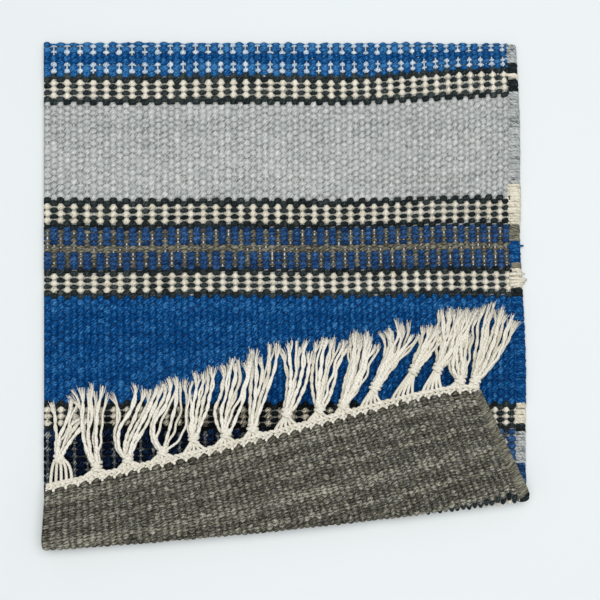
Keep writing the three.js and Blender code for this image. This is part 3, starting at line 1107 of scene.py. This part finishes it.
# how every tassel is tied, in mm; jitters, slubs and tapers are shares
tasselMake = {
    "rootPast": 4.45,
    "outerLegs": (0.004, 0.994),  # places along the edge
    "legs": 5,
    "legHalf": 0.75,
    "legSpread": 0.85,
    "legFrom": (2.2, -0.3),  # mm past the woven end and through the cloth
    "legOut": (5.0, -0.5),
    "legPull": 0.9,
    "legNear": (0.5, 1.0),  # how far back from the knot legs close in: share of the neck, and mm
    "legNearMost": 4.0,
    "legTone": 0.12,
    "legSteps": 9,
    "gather": 2.4,
    "gatherLift": (-0.5, 0.7),
    "bell": (1.0, 0.1, 0.4),  # how far the first tassel's legs hang out, by x, y and z
    "knotAcross": 2.2,
    "knotThrough": 1.5,
    "knotHalf": 0.8,
    "knotSlubs": 0.06,
    "knotSlubSteps": 4,
    # where each wrap sits along the neck, in mm, and its tilt in degrees
    "knotWraps": [(-1.5, 14.0), (-0.45, -12.0), (0.6, 16.0), (1.55, -10.0), (0.0, 48.0)],
    "tiltJitter": 8.0,
    "sizeJitter": (-0.08, 0.1),
    "knotTone": 0.12,
    "knotSteps": 16,
    "strandHalf": 0.62,
    "halfJitter": (0.88, 1.1),
    "strandSlubs": 0.07,
    "strandSlubSteps": 3,
    "strandFlat": 0.95,
    "tipTaper": 0.4,
    "tipFrom": 0.7,
    "strandSteps": 22,
    "rootWidth": 3.4,
    "courseAt": (0, 0.28, 0.6, 1),
    "lanes": (0.6, 2.3, 2.5),  # between pairs of plies: at the knot, along the lock and at the tip
    "lanesOpen": 0.4,
    "plies": (0.75, 1.3),  # between two plies, at the knot and at the tip
    "pliesOpen": 0.45,
    "plyTurns": 3.0,
    "turnJitter": (0.8, 1.2),
    "untwist": 1.5,
    "waveHeight": 0.5,
    "waveGrows": 3,
    "plyWave": 0.6,
    "reachJitter": (0.93, 1.03),
    "levels": 3,
    "layer": 0.8,
    "knotLevel": 0.6,
    "comesDown": (0.05, 0.8),  # shares of a strand's length
    "restTop": 2 * clothPlan["middle"],  # top of the lower layer
    "restGap": 0.3,
    "tone": 0.5,
    # painted shade: strands on the lower levels, under the others, are darker than those on top
    "levelTones": (0.5, 0.72),
    # painted shade: strands are made darker where they crowd, towards the right end of the edge
    "denseShade": 0.14,
    "denseFrom": (0.5, 0.8),  # places along the edge where strands start to crowd
    "strandTone": 0.08,
    "slubTone": 0.1,
    "toneSteps": 4,
    "frays": 6,
    "fraySteps": 5,
    "frayFrom": (0.55, 0.85),
    "frayAside": 1.5,
    "fraySpread": ((-1, -0.6, 0.0), (1, 1, 0.4)),
    "frayCurl": 1.3,
    "frayHalf": (0.32, 0.1),  # at the root and at the tip
    "frayTones": (0.68, 0.15),  # tone and how far it strays
    "fraySides": 3,
    "sides": 6,
    "seed": 23,
}
# slow sideways waves: turns along a strand, least and most share of their size, how fast size falls
slowWaves = {
    "turns": (0.8, 1.7, 2.9),
    "sizes": (0.3, 1.0),
    "falls": 0.7,
}


def strandWaves(rng, share, size):
    waves = np.zeros_like(share)
    for turns in slowWaves["turns"]:
        height = size * rng.uniform(*slowWaves["sizes"]) / turns ** slowWaves["falls"]
        waves = waves + height * np.sin(2 * math.pi * (turns * share + rng.uniform(0, 1)))
    return waves


# legs run out of the twined edge and gather at the knot; a bell of them hangs wide
def gatherLegs(rng, at, neck, borders, knot, along, across, isBell):
    m = tasselMake
    share = np.linspace(0, 1, m["legSteps"])[:, None]
    left, right = (between(at, border, m["legSpread"]) for border in borders)
    paths = []
    for n in range(m["legs"]):
        side = (n + 0.5) / m["legs"]
        u = between(left, right, side)
        start, outOfEdge = (
            lay(u * clothPlan["width"], wovenLength(u) + past, c) for past, c in (m["legFrom"], m["legOut"])
        )
        finish = knot + across * (side - 0.5) * m["gather"]
        finish = finish + upward * rng.uniform(*m["gatherLift"])
        pull = between(start, outOfEdge, m["legPull"])
        perNeck, least = m["legNear"]
        near = finish - along * min(neck * perNeck + least, m["legNearMost"])
        if isBell:
            near = finish + (start - finish) * m["bell"]
        paths.append(
            start * (1 - share) ** 3 + 3 * pull * share * (1 - share) ** 2
            + 3 * near * share ** 2 * (1 - share) + finish * share ** 3
        )
    return paths


# the wraps of a knot as closed loops, and the way each of them faces
def wrapKnot(rng, knot, along, across):
    m = tasselMake
    turn = 2 * math.pi * np.arange(m["knotSteps"]) / m["knotSteps"]
    loops, axes = [], []
    for shift, tilt in m["knotWraps"]:
        tilt = math.radians(tilt + rng.uniform(-m["tiltJitter"], m["tiltJitter"]))
        axes.append(along * math.cos(tilt) + across * math.sin(tilt))
        flank = across * math.cos(tilt) - along * math.sin(tilt)
        size = 1 + rng.uniform(*m["sizeJitter"])
        loop = knot + along * shift + flank * (m["knotAcross"] * size * np.cos(turn))[:, None]
        loops.append(loop + upward * (m["knotThrough"] * size * np.sin(turn))[:, None])
    return loops, axes


# a strand's tip unplies into a brush of finer yarns
def frayTip(rng, share, path):
    m = tasselMake
    fray = np.linspace(0, 1, m["fraySteps"])
    brush = []
    for _ in range(m["frays"]):
        place = between(rng.uniform(*m["frayFrom"]), 1, fray)
        core = np.stack([np.interp(place, share, coordinate) for coordinate in path.T], axis=-1)
        spread = m["frayAside"] * rng.uniform(*m["fraySpread"])
        brush.append(core + spread * fray[:, None] ** m["frayCurl"])
    return brush


# strands leave the knot side by side in pairs of plies, run in locks and come down on the lower layer
def combStrands(rng, at, over, locks, knot):
    m = tasselMake
    share = np.linspace(0, 1, m["strandSteps"])
    packed, apart, atTip = m["lanes"]
    lane = between(packed, apart, smoothStep(share, 0, m["lanesOpen"])) + (atTip - apart) * share ** 2
    plyLane = between(*m["plies"], smoothStep(share, m["pliesOpen"], 1))
    crowdShade = m["denseShade"] * smoothStep(at, *m["denseFrom"])
    total = sum(lock[0] for lock in locks)
    paths, tones, frays = [], [], []
    done = 0
    for strands, quarter, middle, tip, reach in locks:
        rootSide = m["rootWidth"] * ((done + strands / 2) / total - 0.5)
        bends = np.polyfit(m["courseAt"], [rootSide, quarter, middle, tip], 3)
        course = np.polyval(bends, share)
        pairs = (strands + 1) // 2
        for strand in range(strands):
            if strand % 2 == 0:
                waves = strandWaves(rng, share, m["waveHeight"])
                untwist = m["plyTurns"] * rng.uniform(*m["turnJitter"]) * (1 - share) ** m["untwist"]
                level = (done + strand) // 2 * 2 % m["levels"]
            turn = 2 * math.pi * (untwist + strand / 2)
            aside = course + lane * (strand // 2 - (pairs - 1) / 2)
            aside = aside + waves * np.minimum(share * m["waveGrows"], 1) + plyLane / 2 * np.cos(turn)
            aside = aside + strandWaves(rng, share, m["plyWave"]) * share ** 2
            ahead = reach * rng.uniform(*m["reachJitter"]) * share
            rest = m["restTop"] + m["strandHalf"] + m["restGap"] + m["layer"] * (level + over)
            leaves = knot[2] + m["layer"] * (level - m["knotLevel"])
            height = between(leaves, rest, smoothStep(share, *m["comesDown"]))
            height = height + plyLane / 2 * np.sin(turn) * (1 - share)
            path = knot + np.stack([aside, ahead, 0 * share], axis=-1)
            path[:, 2] = np.maximum(height, m["restTop"] + m["strandHalf"])
            paths.append(path)
            tones.append(between(*m["levelTones"], level / 2) - crowdShade)
            frays += frayTip(rng, share, path)
        done += strands
    return paths, tones, frays


def tieTassels():
    m = tasselMake
    rng = np.random.default_rng(m["seed"])
    places = np.array([row[0] for row in tassels])
    first, last = m["outerLegs"]
    borders = np.concatenate([[first], (places[1:] + places[:-1]) / 2, [last]])
    legPaths, knotPaths, knotAxes, strandPaths, strandTones, frayPaths = [], [], [], [], [], []
    for i, (at, neck, lean, over, locks) in enumerate(tassels):
        lean = math.radians(lean)
        along = np.array([math.sin(lean), math.cos(lean), 0.0])
        across = np.array([math.cos(lean), -math.sin(lean), 0.0])
        root = lay(at * clothPlan["width"], wovenLength(at) + m["rootPast"], 0.0)
        knot = root + along * neck
        legPaths += gatherLegs(rng, at, neck, borders[i:i + 2], knot, along, across, i == 0)
        loops, axes = wrapKnot(rng, knot, along, across)
        paths, tones, frays = combStrands(rng, at, over, locks, knot)
        knotPaths += loops
        knotAxes += axes
        strandPaths += paths
        strandTones += tones
        frayPaths += frays
    legPath, knotPath, strandPath, frayPath = map(np.array, (legPaths, knotPaths, strandPaths, frayPaths))
    count, steps = strandPath.shape[:2]
    half = m["strandHalf"] * rng.uniform(*m["halfJitter"], (count, 1))
    half = half * (1 + m["strandSlubs"] * unevenness(rng, count, steps, m["strandSlubSteps"]))
    half = half * (1 - m["tipTaper"] * smoothStep(np.linspace(0, 1, steps), m["tipFrom"], 1))
    knotSlubs = unevenness(rng, len(knotPath), m["knotSteps"], m["knotSlubSteps"])
    knotHalf = m["knotHalf"] * (1 + m["knotSlubs"] * knotSlubs)
    legHalf = np.full(legPath.shape[:2], m["legHalf"])
    frayHalf = np.broadcast_to(np.linspace(*m["frayHalf"], m["fraySteps"]), frayPath.shape[:2])
    strandTone = np.array(strandTones)[:, None] + m["strandTone"] * rng.uniform(-1, 1, (count, 1))
    strandTone = strandTone + m["slubTone"] * unevenness(rng, count, steps, m["toneSteps"])
    legTone = m["tone"] + m["legTone"] * rng.uniform(-1, 1, (len(legPath), 1, 1))
    knotTone = m["tone"] + m["knotTone"] * rng.uniform(-1, 1, (len(knotPath), 1, 1))
    frayTone, frayStrays = m["frayTones"]
    frayTone = frayTone + frayStrays * rng.uniform(-1, 1, (len(frayPath), 1, 1))
    sides = m["sides"]
    legs = yarnBundle(legPath, legHalf, legHalf, legTone, sides)
    wraps = yarnBundle(knotPath, knotHalf, knotHalf, knotTone, sides, np.array(knotAxes)[:, None], True)
    strands = yarnBundle(strandPath, half, half * m["strandFlat"], strandTone[..., None], sides)
    frays = yarnBundle(frayPath, frayHalf, frayHalf, frayTone, m["fraySides"])
    knots = joinYarns("tassel_knots", [legs, wraps], fringeCotton)
    return knots, joinYarns("tassel_strands", [strands, frays], fringeCotton)


edgePiece = twineEdge()
knotPiece, strandPiece = tieTassels()
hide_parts("fringe")
print("kilim: fringe tied")

# plain pale floor and soft studio light, in metres, and the camera above the near side, in mm;
# tilt in degrees, sensor in mm as lenses are sold, and the nearest that the camera sees in metres
studio = {
    "floorHalf": 12.0,
    "floorColour": "#dfe3e3",
    "floorRoughness": 0.9,
    "floorSpecular": 0.1,
    "fill": 0.5,
    "fillColour": "#f6fafc",
    "keyPlace": (0.08, 0.02, 1.0),
    "keySize": 1.2,
    "keyPower": 9.6,
    "tilt": 8.0,
    "distance": 620.0,
    "focalPixels": 1240.0,
    "framePixels": 600.0,
    "sensor": 36.0,
    "nearest": 0.01,
}


# matt floor paint: an even pale grey with almost no shine
def layFloor(scene):
    s = studio
    floorMesh = bpy.data.meshes.new("floor")
    sheet = bmesh.new()
    bmesh.ops.create_grid(sheet, x_segments=1, y_segments=1, size=s["floorHalf"])
    sheet.to_mesh(floorMesh)
    sheet.free()
    floor = bpy.data.objects.new("floor", floorMesh)
    scene.collection.objects.link(floor)
    paint = bpy.data.materials.new("matt_floor_paint")
    paint.use_nodes = True
    shader = paint.node_tree.nodes["Principled BSDF"]
    shader.inputs["Base Color"].default_value = toLinear(s["floorColour"])
    shader.inputs["Roughness"].default_value = s["floorRoughness"]
    shader.inputs["Specular IOR Level"].default_value = s["floorSpecular"]
    floorMesh.materials.append(paint)


def hangLights(scene):
    s = studio
    world = bpy.data.worlds.new("studio")
    world.use_nodes = True
    sky = world.node_tree.nodes["Background"]
    sky.inputs["Color"].default_value = toLinear(s["fillColour"])
    sky.inputs["Strength"].default_value = s["fill"]
    scene.world = world
    lamp = bpy.data.lights.new("key", "AREA")
    lamp.shape = "DISK"
    lamp.size = s["keySize"]
    lamp.energy = s["keyPower"]
    key = bpy.data.objects.new("key", lamp)
    key.location = s["keyPlace"]
    aim = -key.location
    key.rotation_euler = aim.to_track_quat("-Z", "Y").to_euler()
    scene.collection.objects.link(key)


def placeCamera(scene):
    s = studio
    tilt = math.radians(s["tilt"])
    lens = bpy.data.cameras.new("camera")
    lens.sensor_width = s["sensor"]
    lens.lens = s["sensor"] * s["focalPixels"] / s["framePixels"]
    lens.clip_start = s["nearest"]
    camera = bpy.data.objects.new("camera", lens)
    place = planShift + s["distance"] * np.array([0.0, -math.sin(tilt), math.cos(tilt)])
    camera.location = place * toMetres
    camera.rotation_euler = (tilt, 0.0, 0.0)
    scene.collection.objects.link(camera)
    scene.camera = camera


studioScene = bpy.context.scene
studioScene.view_settings.view_transform = "Standard"
layFloor(studioScene)
hangLights(studioScene)
placeCamera(studioScene)
print("kilim: studio set")
